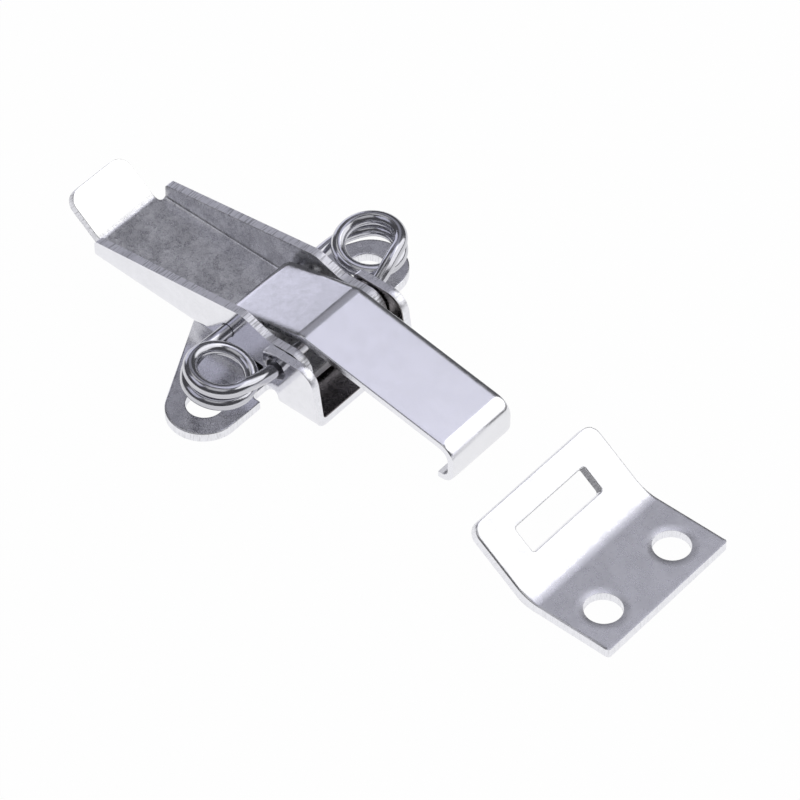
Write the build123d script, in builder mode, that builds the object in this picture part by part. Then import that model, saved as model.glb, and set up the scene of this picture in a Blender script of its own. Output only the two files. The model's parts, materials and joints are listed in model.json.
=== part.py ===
from build123d import *
from math import acos, atan2, cos, degrees, radians, sin, sqrt, tan
import os

# An over centre toggle latch and its strike plate, in millimetres.
# The origin is midway between the two screw holes of the base, on the mounting plane.
# +X points from the latch to the strike plate, +Z is up, away from the mounting plane.

# ---------------------------------------------------------------- stock
base_sheet = 1.5
strike_sheet = 1.5
lever_sheet = 1.4
claw_sheet = 1.1
wire_diameter = 2.1

# ---------------------------------------------------------------- clearances
lever_side_gap = 0.3        # lever wall to base ear
lever_sweep_gap = 0.3       # front edge of the lever's floor to the base, as it turns over
claw_side_gap = 0.9         # claw to lever wall
eye_floor_gap = 0.2         # rolled eye to the lever's floor
eye_fit = 0.05              # rolled eye on the spring legs, radial
lever_hole_slack = 0.12     # lever's holes round the spring legs, radial
ear_hole_slack = 0.65       # base ears' holes round the spring legs, radial
coil_side_gap = 0.35        # spring coil to base ear
coil_turn_gap = 0.44        # between neighbouring turns of a coil
roll_gap = 0.15             # end of the rolled eye to the claw's own underside
lip_height = 0.3            # lowest point of the claw above the mounting plane

# ---------------------------------------------------------------- pivots
pivot_x = 7.0               # lever's pivot, from the line of the base holes
pivot_height = 7.3
toggle_arm = 10.6           # from the lever's pivot back to the claw's pivot

# ---------------------------------------------------------------- lever
lever_half_width = 8.6      # outside, at the pivot
lever_tail_half_width = 8.2  # outside, at the rear end of the walls
lever_front_height = 2.3    # underside of the floor, at its front edge
lever_floor_rise = 0.0375   # rise of the underside for each millimetre to the rear
lever_bend_radius = 1.8     # outside
lever_wall_end = -29.2
lever_nose_radius = 3.0
lever_nose_reach = 4.3      # pivot to the tip of the rounded front ear
lever_ear_height = 10.0     # top of the front ears
lever_throat_radius = 2.0   # below the nose
lever_dip_x = 3.8           # foot of the slope between ear and wall top
lever_dip_height = 9.6
lever_crest_x = -0.9        # highest corner of the wall
lever_crest_height = 11.3
lever_wave_radius = 4.0
lever_tail_height = 7.5     # wall top at its rear end
lever_tail_radius = 0.6
lever_heel_radius = 1.5
tab_half_width = 5.8
tab_root_x = -26.0          # where the tab's own strip starts, inside the floor
tab_crease_x = -30.9
tab_reach = 6.4             # crease to tip, along X
tab_rise = 5.2
tab_bend_radius = 3.0
tab_corner_radius = 2.2
tab_shoulder_radius = 0.5   # inner corner between the tab and the rear end of the floor

# ---------------------------------------------------------------- base bracket
base_hole_spacing = 35.0
screw_hole_diameter = 5.5
wing_tip_radius = 5.5
wing_tip_overhang = 0.5     # tip's centre beyond the screw hole
wing_front_x = 5.75
floor_rear_x = -12.0
floor_rear_half_width = 7.0
floor_rear_corner_radius = 0.8
floor_front_x = 14.7
ear_bend_radius = 2.0       # outside
ear_top_height = 10.1
ear_rear_x = 4.75
ear_heel_height = 3.1       # underside of the ear behind its bend
ear_root_x = 7.4            # rear end of the bend
ear_nose_radius = 3.0
ear_nose_x = 13.5           # front edge at the height of the nose
ear_rear_corner_radius = 0.8
ear_heel_radius = 1.3
relief_depth = 1.65         # slot that frees the ear's bend, from the wing's front edge back
relief_overhang = 1.9       # outer side of the slot, from the outside of the ear
relief_corner = 0.8

# ---------------------------------------------------------------- draw claw
claw_bend_x = 8.2
claw_bend_height = 11.6
claw_bend_radius = 4.5
claw_pitch = 9.83           # fall of the tongue, degrees
hook_face_x = 36.0
hook_bend_radius = 3.0
lip_reach = 2.8             # hook face back to the end of the lip
lip_bend_radius = 2.2

# ---------------------------------------------------------------- springs
coil_radius = 4.45
spring_turns = 1.5
inner_strand_turn = 0.75    # turns from the coil's start to its strand nearest the ear
ear_lead = 16.0             # degrees of the first turn that the ear leg's bend takes over
eye_lead = 40.0             # degrees of the last turn that the eye leg's bend takes over
coil_rise = 2.3             # coil's first strand above the lever's pivot
# Each coil sits in its holes in its own way: degrees by which its outer side is up, degrees
# by which its rear side is up, and its centre's distance behind the lever's pivot.
coil_seats = {"left": (5.1, 2.6, 5.4), "right": (3.6, 9.9, 4.6)}
ear_leg_tip = 4.5           # inner end of the front leg, from the middle plane
eye_leg_tip = 1.0           # inner end of the rear leg, from the middle plane
leg_bend_clear = 0.1        # straight leg outside the lever's wall, before its bend

# ---------------------------------------------------------------- strike plate
strike_front_x = 71.8
strike_centre_y = -3.7
strike_width = 26.0
strike_foot = 14.35         # front edge to crease, along the upper face
strike_flange = 12.15       # crease to the upper edge, along the upper face
strike_angle = 36.7
strike_bend_radius = 3.0    # inside
strike_hole_spacing = 14.9
strike_hole_setback = 5.4   # from the front edge
strike_slot_width = 14.9
strike_slot_start = 3.96    # slot's edges, up the flange from the crease
strike_slot_end = 8.25
strike_slot_corner = 0.5
strike_top_corner = 2.0
strike_foot_corner = 0.6

# ---------------------------------------------------------------- worked out from the above
wire_radius = wire_diameter / 2
lever_inner_half_width = lever_half_width - lever_sheet
lever_tail_flat_half_width = lever_tail_half_width - lever_bend_radius
ear_inner_y = lever_half_width + lever_side_gap
ear_outer_y = ear_inner_y + base_sheet
base_flat_half_width = ear_outer_y - ear_bend_radius
screw_hole_radius = screw_hole_diameter / 2

# The lever's floor ends where its front edge still clears the base as the lever turns over.
lever_drop = pivot_height - lever_front_height
lever_sweep_radius = pivot_height - base_sheet - lever_sweep_gap
lever_floor_front = pivot_x + sqrt(lever_sweep_radius**2 - lever_drop**2)
lever_nose_x = pivot_x + lever_nose_reach
lever_section_sheet = lever_sheet / cos(atan2(lever_floor_rise, 1))


def lever_underside(x):
    """Height of the underside of the lever's sloping floor."""
    return lever_front_height + lever_floor_rise * (lever_floor_front - x)


# The rolled eye lies just above the lever's floor.
eye_radius = wire_radius + eye_fit
eye_outer_radius = eye_radius + claw_sheet
eye_x = pivot_x - toggle_arm
eye_height = lever_underside(eye_x) + lever_section_sheet + eye_floor_gap + eye_outer_radius
claw_half_width = lever_inner_half_width - claw_side_gap


def finish(builder, name):
    """Name a finished piece and write it to its own file."""
    builder.part.label = name
    export_step(builder.part, f"parts/{name}.step")


os.makedirs("parts", exist_ok=True)

# ================================================================ base bracket
# Both ears and their bends, as a folded channel trimmed to the ears' side outline.
with BuildPart() as ears:
    with BuildSketch(Plane.YZ.offset(ear_rear_x)):
        with BuildLine():
            fold = FilletPolyline(
                (0, 0), (ear_outer_y, 0), (ear_outer_y, ear_top_height), radius=[ear_bend_radius]
            )
            offset(fold, amount=base_sheet, side=Side.LEFT)
        make_face()
    extrude(amount=floor_front_x - ear_rear_x)
    with BuildSketch(Plane.XZ):
        with BuildLine():
            FilletPolyline(
                (floor_front_x, 0),
                (floor_front_x, base_sheet),
                (ear_nose_x, ear_top_height),
                (ear_rear_x, ear_top_height),
                (ear_rear_x, ear_heel_height),
                (ear_root_x, ear_heel_height),
                (ear_root_x, 0),
                radius=[0, 0, ear_nose_radius, ear_rear_corner_radius, 0, ear_heel_radius, 0],
                close=True,
            )
        make_face()
        with Locations((pivot_x, pivot_height)):
            Circle(wire_radius + ear_hole_slack, mode=Mode.SUBTRACT)
    extrude(amount=2 * ear_outer_y, both=True, mode=Mode.INTERSECT)
    mirror(about=Plane.XZ)

with BuildPart() as base_bracket:
    # The wings taper from the floor's rear edge to a round tip about each screw hole.
    with BuildSketch():
        wing_tip_x = wing_front_x - wing_tip_radius
        with GridLocations(0, base_hole_spacing + 2 * wing_tip_overhang, 1, 2):
            with Locations((wing_tip_x, 0)):
                Circle(wing_tip_radius)
        rear_corner_y = floor_rear_half_width - floor_rear_corner_radius
        with GridLocations(0, 2 * rear_corner_y, 1, 2):
            with Locations((floor_rear_x + floor_rear_corner_radius, 0)):
                Circle(floor_rear_corner_radius)
        make_hull()
    extrude(amount=base_sheet)
    # Between the ears the floor runs on to the front edge, and stops at the bends.
    with BuildSketch():
        with Locations(((wing_front_x + floor_front_x) / 2, 0)):
            Rectangle(floor_front_x - wing_front_x, 2 * base_flat_half_width)
    extrude(amount=base_sheet)
    # A slot on each side frees the ear's bend from the wing.
    with BuildSketch():
        relief_width = ear_outer_y + relief_overhang - base_flat_half_width
        with GridLocations(0, 2 * base_flat_half_width + relief_width, 1, 2):
            with Locations((wing_front_x, 0)):
                RectangleRounded(2 * relief_depth, relief_width, relief_corner)
    extrude(amount=base_sheet, mode=Mode.SUBTRACT)
    add(ears.part)
    with Locations((0, 0, base_sheet)):
        with GridLocations(0, base_hole_spacing, 1, 2):
            Hole(screw_hole_radius)
finish(base_bracket, "base_bracket")

# ================================================================ lever handle
# Finger tab, bent up from the floor behind the walls, with a rounded shoulder on each side.
with BuildPart() as tab:
    with BuildSketch(Plane.XZ):
        with BuildLine():
            tab_line = FilletPolyline(
                (tab_root_x, lever_underside(tab_root_x)),
                (tab_crease_x, lever_underside(tab_crease_x)),
                (tab_crease_x - tab_reach, lever_underside(tab_crease_x) + tab_rise),
                radius=[tab_bend_radius],
            )
            offset(tab_line, amount=lever_sheet, side=Side.RIGHT)
        make_face()
    extrude(amount=lever_tail_half_width, both=True)
    with BuildSketch():
        with BuildLine():
            FilletPolyline(
                (tab_root_x, 0),
                (tab_root_x, lever_tail_flat_half_width),
                (lever_wall_end, lever_tail_flat_half_width),
                (lever_wall_end, tab_half_width),
                (tab_crease_x - 2 * tab_reach, tab_half_width),
                (tab_crease_x - 2 * tab_reach, 0),
                radius=[0, 0, 0, tab_shoulder_radius, 0, 0],
                close=True,
            )
        make_face()
        mirror(about=Plane.XZ)
    extrude(amount=lever_crest_height, mode=Mode.INTERSECT)
    tab_corners = tab.faces().sort_by(Axis.X)[0].edges().group_by(SortBy.LENGTH)[0]
    fillet(tab_corners, tab_corner_radius)

with BuildPart() as lever_handle:
    # Half of the tapering channel, between its sections at the nose and at the walls' rear end.
    for x, half_width in (
        (lever_nose_x, lever_half_width),
        (lever_wall_end, lever_tail_half_width),
    ):
        with BuildSketch(Plane.YZ.offset(x)):
            with BuildLine():
                fold = FilletPolyline(
                    (0, lever_underside(x)),
                    (half_width, lever_underside(x)),
                    (half_width, lever_crest_height + lever_sheet),
                    radius=[lever_bend_radius],
                )
                offset(fold, amount=lever_section_sheet, side=Side.LEFT)
            make_face()
    loft(ruled=True)
    # Side outline of the walls.
    with BuildSketch(Plane.XZ):
        with BuildLine():
            FilletPolyline(
                (lever_floor_front, 0),
                (lever_floor_front, lever_front_height + lever_sheet),
                (lever_nose_x, lever_front_height + lever_nose_radius),
                (lever_nose_x, lever_ear_height),
                (lever_dip_x, lever_dip_height),
                (lever_crest_x, lever_crest_height),
                (lever_wall_end, lever_tail_height),
                (lever_wall_end, lever_underside(lever_wall_end)),
                (lever_wall_end + lever_heel_radius, 0),
                radius=[
                    0,
                    0,
                    lever_throat_radius,
                    lever_nose_radius,
                    lever_wave_radius,
                    lever_wave_radius,
                    lever_tail_radius,
                    lever_heel_radius,
                    0,
                ],
                close=True,
            )
        make_face()
    extrude(amount=2 * lever_half_width, both=True, mode=Mode.INTERSECT)
    mirror(about=Plane.XZ)
    add(tab.part)
    # Holes for the spring legs.
    with BuildSketch(Plane.XZ):
        with Locations((pivot_x, pivot_height), (eye_x, eye_height)):
            Circle(wire_radius + lever_hole_slack)
    extrude(amount=2 * lever_half_width, both=True, mode=Mode.SUBTRACT)
finish(lever_handle, "lever_handle")

# ================================================================ draw claw
# The strip's outer line runs from the lip round the hook, along the tongue and into the eye.
bend_distance = sqrt((claw_bend_x - eye_x) ** 2 + (claw_bend_height - eye_height) ** 2)
bend_direction = atan2(claw_bend_height - eye_height, claw_bend_x - eye_x)
roll_start = degrees(bend_direction + acos(eye_outer_radius / bend_distance))
roll_open = degrees(acos((eye_radius - roll_gap) / eye_outer_radius))
hook_corner_height = claw_bend_height - (hook_face_x - claw_bend_x) * tan(radians(claw_pitch))
eye_centre = Vector(eye_x, eye_height)
strip_start = eye_centre + Vector(eye_outer_radius, 0).rotate(Axis.Z, roll_start)
with BuildPart() as draw_claw:
    with BuildSketch(Plane.XZ):
        with BuildLine():
            FilletPolyline(
                (hook_face_x - lip_reach, lip_height),
                (hook_face_x, lip_height),
                (hook_face_x, hook_corner_height),
                (claw_bend_x, claw_bend_height),
                strip_start,
                radius=[lip_bend_radius, hook_bend_radius, claw_bend_radius],
            )
            offset(amount=claw_sheet, side=Side.LEFT)
        make_face()
        with BuildLine():
            CenterArc(eye_centre, eye_outer_radius - claw_sheet / 2, roll_start, 360 - roll_open)
        trace(line_width=claw_sheet)
    extrude(amount=claw_half_width, both=True)
finish(draw_claw, "draw_claw")

# ================================================================ springs
coil_pitch = wire_diameter + coil_turn_gap
for side_name, side in (("left", 1), ("right", -1)):
    # The coil winds down from the ear leg, outwards first, and its strand on the inner side
    # clears the base ear.
    outer_angle, rear_angle, coil_setback = coil_seats[side_name]
    outer_tip = radians(outer_angle)
    rear_tip = radians(rear_angle)
    strand_drop = inner_strand_turn * coil_pitch
    inner_reach = coil_radius * cos(outer_tip) - strand_drop * sin(outer_tip) + wire_radius
    forward = Vector(cos(rear_tip), 0, -sin(rear_tip))
    outward = Vector(0, side * cos(outer_tip), sin(outer_tip))
    coil_plane = Plane(
        origin=(
            pivot_x - coil_setback,
            side * (ear_outer_y + coil_side_gap + inner_reach),
            pivot_height + coil_rise,
        ),
        x_dir=forward,
        z_dir=forward.cross(outward) * -side,
    )
    # The two bends take over the start of the first turn and the end of the last.
    start_plane = coil_plane.rotated((0, 0, -side * ear_lead)).offset(coil_pitch * ear_lead / 360)
    coil_turns = spring_turns - (ear_lead + eye_lead) / 360
    coil = start_plane.from_local_coords(
        Edge.make_helix(coil_pitch, coil_pitch * coil_turns, coil_radius, lefthand=side > 0)
    )
    across = Vector(0, side, 0)
    bend_y = side * (lever_half_width + leg_bend_clear)
    ear_leg_start = Vector(pivot_x, side * ear_leg_tip, pivot_height)
    ear_leg_end = Vector(pivot_x, bend_y, pivot_height)
    eye_leg_start = Vector(eye_x, bend_y, eye_height)
    eye_leg_end = Vector(eye_x, side * eye_leg_tip, eye_height)
    with BuildPart() as spring:
        with BuildLine():
            Line(ear_leg_start, ear_leg_end)
            Spline(ear_leg_end, coil @ 0, tangents=[across, coil % 0])
            add(coil)
            Spline(coil @ 1, eye_leg_start, tangents=[coil % 1, -across])
            Line(eye_leg_start, eye_leg_end)
        with BuildSketch(Plane(origin=ear_leg_start, z_dir=across)):
            Circle(wire_radius)
        sweep()
    finish(spring, f"spring_{side_name}")

# ================================================================ strike plate
strike_crease_x = strike_front_x - strike_foot
flange_run = cos(radians(strike_angle))
flange_climb = sin(radians(strike_angle))
flange_plane = Plane(
    origin=(strike_crease_x, strike_centre_y, strike_sheet),
    x_dir=(-flange_run, 0, flange_climb),
    z_dir=(flange_climb, 0, flange_run),
)
with BuildPart() as strike_plate:
    with BuildSketch(Plane.XZ.offset(-strike_centre_y)):
        with BuildLine():
            FilletPolyline(
                (strike_front_x, strike_sheet),
                (strike_crease_x, strike_sheet),
                (
                    strike_crease_x - strike_flange * flange_run,
                    strike_sheet + strike_flange * flange_climb,
                ),
                radius=[strike_bend_radius],
            )
            offset(amount=strike_sheet, side=Side.LEFT)
        make_face()
    extrude(amount=strike_width / 2, both=True)
    flange_normal = Axis((0, 0, 0), flange_plane.z_dir)
    fillet(strike_plate.edges().filter_by(flange_normal), strike_top_corner)
    foot_corners = strike_plate.edges().filter_by(Axis.Z)
    fillet(foot_corners, strike_foot_corner)
    with BuildSketch(flange_plane):
        with Locations(((strike_slot_start + strike_slot_end) / 2, 0)):
            RectangleRounded(
                strike_slot_end - strike_slot_start, strike_slot_width, strike_slot_corner
            )
    extrude(amount=-2 * strike_sheet, mode=Mode.SUBTRACT)
    with Locations((strike_front_x - strike_hole_setback, strike_centre_y, strike_sheet)):
        with GridLocations(0, strike_hole_spacing, 1, 2):
            Hole(screw_hole_radius)
finish(strike_plate, "strike_plate")
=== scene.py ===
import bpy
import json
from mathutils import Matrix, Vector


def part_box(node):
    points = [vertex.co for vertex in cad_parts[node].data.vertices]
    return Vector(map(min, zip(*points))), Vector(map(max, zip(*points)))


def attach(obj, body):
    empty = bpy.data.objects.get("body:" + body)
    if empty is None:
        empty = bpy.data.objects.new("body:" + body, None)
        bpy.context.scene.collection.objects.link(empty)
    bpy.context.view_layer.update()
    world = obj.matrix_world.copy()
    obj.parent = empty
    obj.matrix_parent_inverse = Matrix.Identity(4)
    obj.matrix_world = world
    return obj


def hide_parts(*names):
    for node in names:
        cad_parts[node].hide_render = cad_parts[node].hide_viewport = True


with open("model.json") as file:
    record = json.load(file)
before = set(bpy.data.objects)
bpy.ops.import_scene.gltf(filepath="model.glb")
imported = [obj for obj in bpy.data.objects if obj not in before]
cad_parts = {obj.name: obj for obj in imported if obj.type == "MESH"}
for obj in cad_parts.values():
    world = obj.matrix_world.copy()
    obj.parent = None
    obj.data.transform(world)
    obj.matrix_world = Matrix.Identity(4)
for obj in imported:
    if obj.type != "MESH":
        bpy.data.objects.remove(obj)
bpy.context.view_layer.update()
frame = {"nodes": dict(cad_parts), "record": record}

import json
import math

import bmesh
import bpy
import numpy as np
from mathutils import Matrix, Vector
from mathutils.bvhtree import BVHTree

bl_info = {
    "name": "Toggle latch",
    "version": (1, 0, 0),
    "blender": (4, 5, 0),
    "location": "3D View > Sidebar > Toggle latch",
    "description": "Dresses an over centre toggle latch and its strike plate in worked steel",
    "category": "Object",
}

MM = 0.001
WELD = 1e-6  # vertices nearer than this are one
RIDGE_LENGTH = 0.94  # how far the ridges of a cut edge are drawn out across the sheet


# ------ settings
def length(name, description, default):
    """A length in metres, given here in millimetres."""
    return bpy.props.FloatProperty(
        name=name, description=description, default=default * MM, unit="LENGTH", precision=5
    )


def share(name, description, default):
    """A plain number."""
    return bpy.props.FloatProperty(name=name, description=description, default=default)


def whole(name, description, default, least):
    """A whole number."""
    return bpy.props.IntProperty(name=name, description=description, default=default, min=least)


def turn(name, description, default):
    """An angle in radians, given here in degrees."""
    return bpy.props.FloatProperty(
        name=name, description=description, default=math.radians(default), unit="ROTATION"
    )


def triple(name, description, default, **extra):
    """A place or a direction."""
    return bpy.props.FloatVectorProperty(
        name=name, description=description, default=default, size=3, precision=4, **extra
    )


def colour(name, description, default):
    """A linear colour."""
    return bpy.props.FloatVectorProperty(
        name=name, description=description, default=default, size=3, subtype="COLOR", min=0, max=1
    )


class LatchSheetSettings(bpy.types.PropertyGroup):
    """The folded sheet pieces."""

    base_sheet: length("Base sheet", "Thickness of the base bracket's sheet", 1.5)
    lever_sheet: length("Lever sheet", "Thickness of the lever's sheet", 1.4)
    claw_sheet: length("Claw sheet", "Thickness of the draw claw's sheet", 1.1)
    strike_sheet: length("Strike sheet", "Thickness of the strike plate's sheet", 1.5)
    base_roll: length("Base edge roll", "Width of the punched edge's roll-over", 0.40)
    lever_roll: length("Lever edge roll", "Width of the punched edge's roll-over", 0.22)
    claw_roll: length("Claw edge roll", "Width of the punched edge's roll-over", 1.10)
    strike_roll: length("Strike edge roll", "Width of the punched edge's roll-over", 0.50)
    roll_depth: share("Roll depth", "Drop of a rolled edge, as a share of its width", 0.30)
    burr_round: length("Burr rounding", "Tumbled rounding of every other sharp edge", 0.07)
    claw_near_share: share(
        "Claw near edge", "Roll of the claw's near edge, as a share of the far one's", 0.4
    )
    strike_side_share: share("Strike sides", "Roll of the flange's long sides, as a share", 1.5)
    strike_edge_share: share("Strike edges", "Roll of the strike's other edges, as a share", 0.80)
    strike_front_share: share("Strike front", "Roll of the foot's front edge, as a share", 0.12)
    strike_bend: length("Strike bend", "Radius of the strike's inner bend", 7.0)
    dish_width: length("Dish width", "Width of the dished ring round a strike hole", 1.25)
    dish_depth: length("Dish depth", "Depth of the dished ring at the hole", 0.10)
    tab_worn_from: length("Tab polish", "Where the fingers' polish begins, along X", -30.2)
    tab_worn_to: length("Tab full polish", "Where the polish is complete, along X", -31.4)


class LatchSteelSettings(bpy.types.PropertyGroup):
    """Colours of the metal, as reflected straight back, and colours of painted shade."""

    base_colour: colour("Base", "Base bracket's sheet", (0.76, 0.76, 0.79))
    lever_colour: colour("Lever", "Lever's sheet", (0.83, 0.83, 0.87))
    claw_colour: colour("Claw", "Draw claw's sheet", (0.83, 0.83, 0.86))
    strike_colour: colour("Strike", "Strike plate's sheet", (0.84, 0.84, 0.86))
    outside_colour: colour(
        "Outside", "Bright outer sides of the base and the lever", (0.82, 0.82, 0.86)
    )
    cut_colour: colour("Cut edge", "Freshly sheared edges", (0.84, 0.84, 0.88))
    # Painted shade: a dark colour laid on the base's floor between the ears, where that pocket
    # lies in shade.
    pocket_shade_colour: colour("Pocket shade", "Darkened pocket between the ears", (0.30, 0.28, 0.28))
    # Painted shade: the far end of the strike's slot is given a dark colour for the shade inside
    # the slot.
    slot_end_shade_colour: colour("Slot end", "Rough far end of the strike's slot", (0.34, 0.34, 0.36))
    wire_colour: colour("Wire", "Spring wire", (0.60, 0.60, 0.64))


class LatchSpringSettings(bpy.types.PropertyGroup):
    """The two wire springs that carry the pivots."""

    wire_diameter: length("Wire", "Diameter of the spring wire", 2.1)
    coil_radius: length("Coil radius", "Middle of the wire to the coil's axis", 4.45)
    turns: share("Turns", "Turns of each coil, its two bends counted in", 1.5)
    turn_gap: length("Turn gap", "Gap between neighbouring turns", 0.44)
    inner_strand: share(
        "Inner strand", "Turns from the coil's start to the strand next to the ear", 0.75
    )
    side_gap: length("Side gap", "Coil to the outside of the base's ear", 0.35)
    ear_side: length("Ear side", "Outside of the base's ear, from the middle", 10.4)
    rise: length("Rise", "First strand of the coil above the lever's pivot", 2.3)
    ear_lead: turn("Ear lead", "Share of the first turn that the ear leg's bend takes over", 16.0)
    eye_lead: turn("Eye lead", "Share of the last turn that the eye leg's bend takes over", 40.0)
    left_outer_tip: turn("Left outer tip", "Outer side of the left coil tipped up", 5.1)
    left_rear_tip: turn("Left rear tip", "Rear side of the left coil tipped up", 2.6)
    left_setback: length("Left setback", "Left coil's middle behind the lever's pivot", 5.4)
    right_outer_tip: turn("Right outer tip", "Outer side of the right coil tipped up", 3.6)
    right_rear_tip: turn("Right rear tip", "Rear side of the right coil tipped up", 9.9)
    right_setback: length("Right setback", "Right coil's middle behind the lever's pivot", 4.6)
    bend_side: length("Bend side", "Start of both legs' bends, from the middle", 8.7)
    ear_leg_tip: length("Ear leg tip", "Inner end of the front leg, from the middle", 4.5)
    eye_leg_tip: length("Eye leg tip", "Inner end of the rear leg, from the middle", 1.0)
    sides: whole("Sides", "Facets round the wire", 32, 8)
    bend_steps: whole("Bend steps", "Rings along each bend", 28, 4)
    turn_steps: whole("Turn steps", "Rings along each full turn", 96, 12)
    leg_steps: whole("Leg steps", "Rings along each straight leg", 14, 4)


class LatchStageSettings(bpy.types.PropertyGroup):
    """Floor, lamps and camera."""

    camera_place: triple("Camera", "Where the camera stands", (0.3489, -0.3850, 0.5385),
                         subtype="XYZ", unit="LENGTH")
    camera_look: triple("Look", "Direction in which it looks", (-0.4449, 0.5223, -0.7275))
    camera_up: triple("Up", "Upward direction of the picture", (-0.4695, 0.5558, 0.6862))
    lens: share("Lens", "Focal length in millimetres, on a 36 mm sensor", 237.4)
    floor_colour: colour("Floor", "Colour of the floor", (0.90, 0.90, 0.90))
    floor_glow: share("Floor glow", "Share of plain white in the floor as it is seen", 0.985)
    room_level: share("Room", "Brightness of the room round the lamps", 0.10)


class LatchSettings(bpy.types.PropertyGroup):
    """All settings of the latch."""

    sheet: bpy.props.PointerProperty(type=LatchSheetSettings, name="Sheet")
    steel: bpy.props.PointerProperty(type=LatchSteelSettings, name="Steel")
    spring: bpy.props.PointerProperty(type=LatchSpringSettings, name="Springs")
    stage: bpy.props.PointerProperty(type=LatchStageSettings, name="Stage")


# ------ small helpers
def settings():
    """The scene's own settings for this latch."""
    return bpy.context.scene.toggle_latch


def link(data, name):
    """A new object at the origin for a mesh, a lamp or a camera."""
    piece = bpy.data.objects.new(name, data)
    bpy.context.scene.collection.objects.link(piece)
    return piece


def plain_mesh(piece, name):
    """The evaluated mesh of a piece, with its modifiers' result made plain."""
    bpy.context.view_layer.update()
    graph = bpy.context.evaluated_depsgraph_get()
    mesh = bpy.data.meshes.new_from_object(
        piece.evaluated_get(graph), preserve_all_data_layers=True, depsgraph=graph
    )
    mesh.name = name
    return mesh


class Nodes:
    """Short calls that add nodes to a node tree."""

    def __init__(self, tree):
        self.tree = tree

    def join(self, value, socket):
        """Gives a socket its value, or joins the two where the value is a socket."""
        if isinstance(value, bpy.types.NodeSocket):
            self.tree.links.new(value, socket)
        else:
            socket.default_value = value

    def node(self, kind, setup=None, **values):
        """A node with its properties set, and its named inputs given or joined."""
        made = self.tree.nodes.new(kind)
        for key, value in (setup or {}).items():
            setattr(made, key, value)
        for key, value in values.items():
            self.join(value, made.inputs[key.replace("_", " ")])
        return made

    def math(self, operation, first, second=0.0):
        """One sum of two values."""
        made = self.node("ShaderNodeMath", {"operation": operation})
        self.join(first, made.inputs[0])
        self.join(second, made.inputs[1])
        return made.outputs[0]


# ------ materials
class Shader(Nodes):
    """A node material with one metal shader, and the patterns that it is made from."""

    def __init__(self, name, base, roughness):
        self.material = bpy.data.materials.new(name)
        self.material.use_nodes = True
        super().__init__(self.material.node_tree)
        self.base = base
        self.metal = self.tree.nodes["Principled BSDF"].inputs
        self.metal["Metallic"].default_value = 1.0
        self.metal["Base Color"].default_value = (*base, 1)
        self.metal["Roughness"].default_value = roughness
        self.place = self.node("ShaderNodeTexCoord").outputs["Object"]

    def attribute(self, name):
        """A vector attribute of the piece."""
        return self.node("ShaderNodeAttribute", {"attribute_name": name}).outputs["Vector"]

    def noise(self, vector, size, detail, rough, distortion=0.0):
        """Soft noise whose blots are about size metres across."""
        return self.node(
            "ShaderNodeTexNoise", Vector=vector, Scale=1 / size, Detail=detail,
            Roughness=rough, Distortion=distortion,
        ).outputs["Fac"]

    def span(self, value, low, high, to_low, to_high):
        """value from low to high, moved smoothly to the range to_low to to_high."""
        return self.node(
            "ShaderNodeMapRange", {"interpolation_type": "SMOOTHSTEP"}, Value=value,
            From_Min=low, From_Max=high, To_Min=to_low, To_Max=to_high,
        ).outputs["Result"]

    def paint(self, factor, low, high):
        """Base colour from low to high, as factor goes from 0 to 1."""
        made = self.node("ShaderNodeMix", {"data_type": "RGBA"}, Factor=factor)
        ends = [socket for socket in made.inputs if socket.type == "RGBA"]
        self.join(low, ends[0])
        self.join(high, ends[1])
        result = [socket for socket in made.outputs if socket.type == "RGBA"][0]
        self.join(result, self.metal["Base Color"])

    def tint(self, factor, low, high):
        """Base colour times low to high, as factor goes from 0 to 1."""
        ends = [(*[min(1, c * level) for c in self.base], 1) for level in (low, high)]
        self.paint(factor, *ends)

    def cover(self, mask, upper):
        """Lays another colour over the present one where the mask is 1."""
        present = self.metal["Base Color"].links[0].from_socket
        self.paint(mask, present, (*upper, 1))

    def axes(self):
        """X, Y and Z of the place on the object, in metres."""
        return self.node("ShaderNodeSeparateXYZ", Vector=self.place).outputs

    def bump(self, height, depth, under=None):
        """Relief of depth metres, on top of an earlier one."""
        made = self.node("ShaderNodeBump", Height=height, Distance=depth, Strength=1.0)
        if under:
            self.join(under, made.inputs["Normal"])
        self.join(made.outputs["Normal"], self.metal["Normal"])
        return made.outputs["Normal"]


FADE = (0.36, 0.64)  # noise values between which the colour changes
SOFT_FADE = (0.3, 0.7)  # the same for the gloss
GLOSS_SPREAD = (0.85, 1.2)  # least and most, as a share of the roughness
GLINT = 0.4  # rise of the light patches, as a share of the whole
CLOUD_SIZE, PATCH_SIZE, PIT_SIZE = 3.4 * MM, 1.0 * MM, 0.17 * MM
CLOUD_DEPTH, PATCH_DEPTH, PIT_DEPTH = 0.010 * MM, 0.009 * MM, 0.005 * MM
WORN_GLOSS, WORN_RELIEF = 0.55, 0.15  # what wear leaves, as a share
POCKET_FRONT = (3.5 * MM, 6.0 * MM)  # where the painted shade between the ears begins and is complete, along X
POCKET_SIDE = (9.3 * MM, 9.8 * MM)  # where it fades and has ended, from the middle
EDGE_FADE = (0.36, 0.50)  # noise values between which a cut edge changes
EDGE_SHADE, EDGE_GLINT = 0.55, 1.03  # loss of colour in its grooves, and its ridges
TEAR_SIZE, TEAR_DULL = 0.30 * MM, 1.5  # its tears, and how much duller they are
RIDGE_DEPTH, TEAR_DEPTH, TEAR_LEAST = 0.03 * MM, 0.014 * MM, 0.3
WIRE_GLOSS = (0.12, 0.22)
DRAW_FADE = (0.32, 0.62)
DRAW_TINT = (0.86, 1.03)
DRAW_SIZE, SMEAR_SIZE, DRAW_DEPTH = 0.16 * MM, 1.1 * MM, 0.006 * MM


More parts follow.
